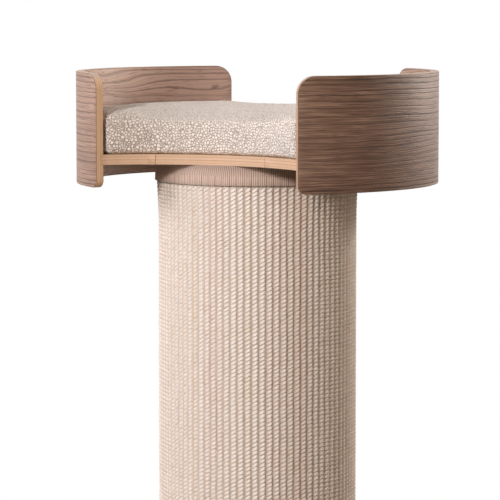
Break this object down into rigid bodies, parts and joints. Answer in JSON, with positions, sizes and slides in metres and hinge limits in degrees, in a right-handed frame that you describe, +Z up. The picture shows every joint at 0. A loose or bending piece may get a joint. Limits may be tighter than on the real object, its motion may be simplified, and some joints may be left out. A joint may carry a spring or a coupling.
{
  "type": "cat scratching post",
  "caption": "Thick round scratching column in a ribbed woven sisal sleeve, carrying a round plywood nest with two curved side panels and a loose cushion.",
  "frame": {"origin": "on the floor, on the column's axis, at the middle of the box round the whole post", "axes": "+Z up; the nest's open front faces -Y; the two side panels lie at +X and -X"},
  "size_m": [0.5498, 0.48, 1.1],
  "materials": {
    "walnut_veneered_plywood": "matt lacquered walnut veneer, grain round the curve",
    "platform_plywood": "clear matt lacquered birch plywood",
    "birch_plywood": "raw birch plywood",
    "boucle_fabric": "oatmeal boucle over foam",
    "woven_sisal": "ribbed woven sisal, matt",
    "taupe_webbing": "taupe woven binding",
    "taupe_ribbed_fabric": "taupe fine-ribbed fabric over padding",
    "wound_board": "spirally wound grey-brown board",
    "powder_coated_steel": "fine-textured matt powder coat, warm dark grey",
    "zinc_steel": "bright zinc plated",
    "felt": "needled felt"
  },
  "bodies": {
    "post": {"base_plate": "powder_coated_steel", "base_pad_1": "felt", "base_pad_2": "felt", "base_pad_3": "felt", "base_pad_4": "felt", "base_pad_5": "felt", "base_pad_6": "felt", "bottom_disc": "birch_plywood", "base_bolt_1": "zinc_steel", "base_insert_1": "zinc_steel", "base_bolt_2": "zinc_steel", "base_insert_2": "zinc_steel", "base_bolt_3": "zinc_steel", "base_insert_3": "zinc_steel", "base_bolt_4": "zinc_steel", "base_insert_4": "zinc_steel", "core_tube": "wound_board", "top_disc": "birch_plywood", "sisal_sleeve": "woven_sisal", "sleeve_bottom_binding": "taupe_webbing", "sleeve_top_binding": "taupe_webbing", "neck_collar": "taupe_ribbed_fabric", "platform_centre_board": "platform_plywood", "platform_left_wing": "platform_plywood", "platform_right_wing": "platform_plywood", "platform_left_tongue": "birch_plywood", "platform_right_tongue": "birch_plywood", "platform_bolt_1": "zinc_steel", "platform_insert_1": "zinc_steel", "platform_bolt_2": "zinc_steel", "platform_insert_2": "zinc_steel", "platform_bolt_3": "zinc_steel", "platform_insert_3": "zinc_steel", "platform_bolt_4": "zinc_steel", "platform_insert_4": "zinc_steel", "platform_bolt_5": "zinc_steel", "platform_insert_5": "zinc_steel", "platform_bolt_6": "zinc_steel", "platform_insert_6": "zinc_steel", "left_side_panel": "walnut_veneered_plywood", "right_side_panel": "walnut_veneered_plywood"},
    "cushion": {"cushion": "boucle_fabric"}
  },
  "joints": [
    {"name": "cushion_lift", "type": "slide", "parent": "post", "child": "cushion", "axis": [0, 0, 1], "range_m": [0, 0.2]}
  ]
}
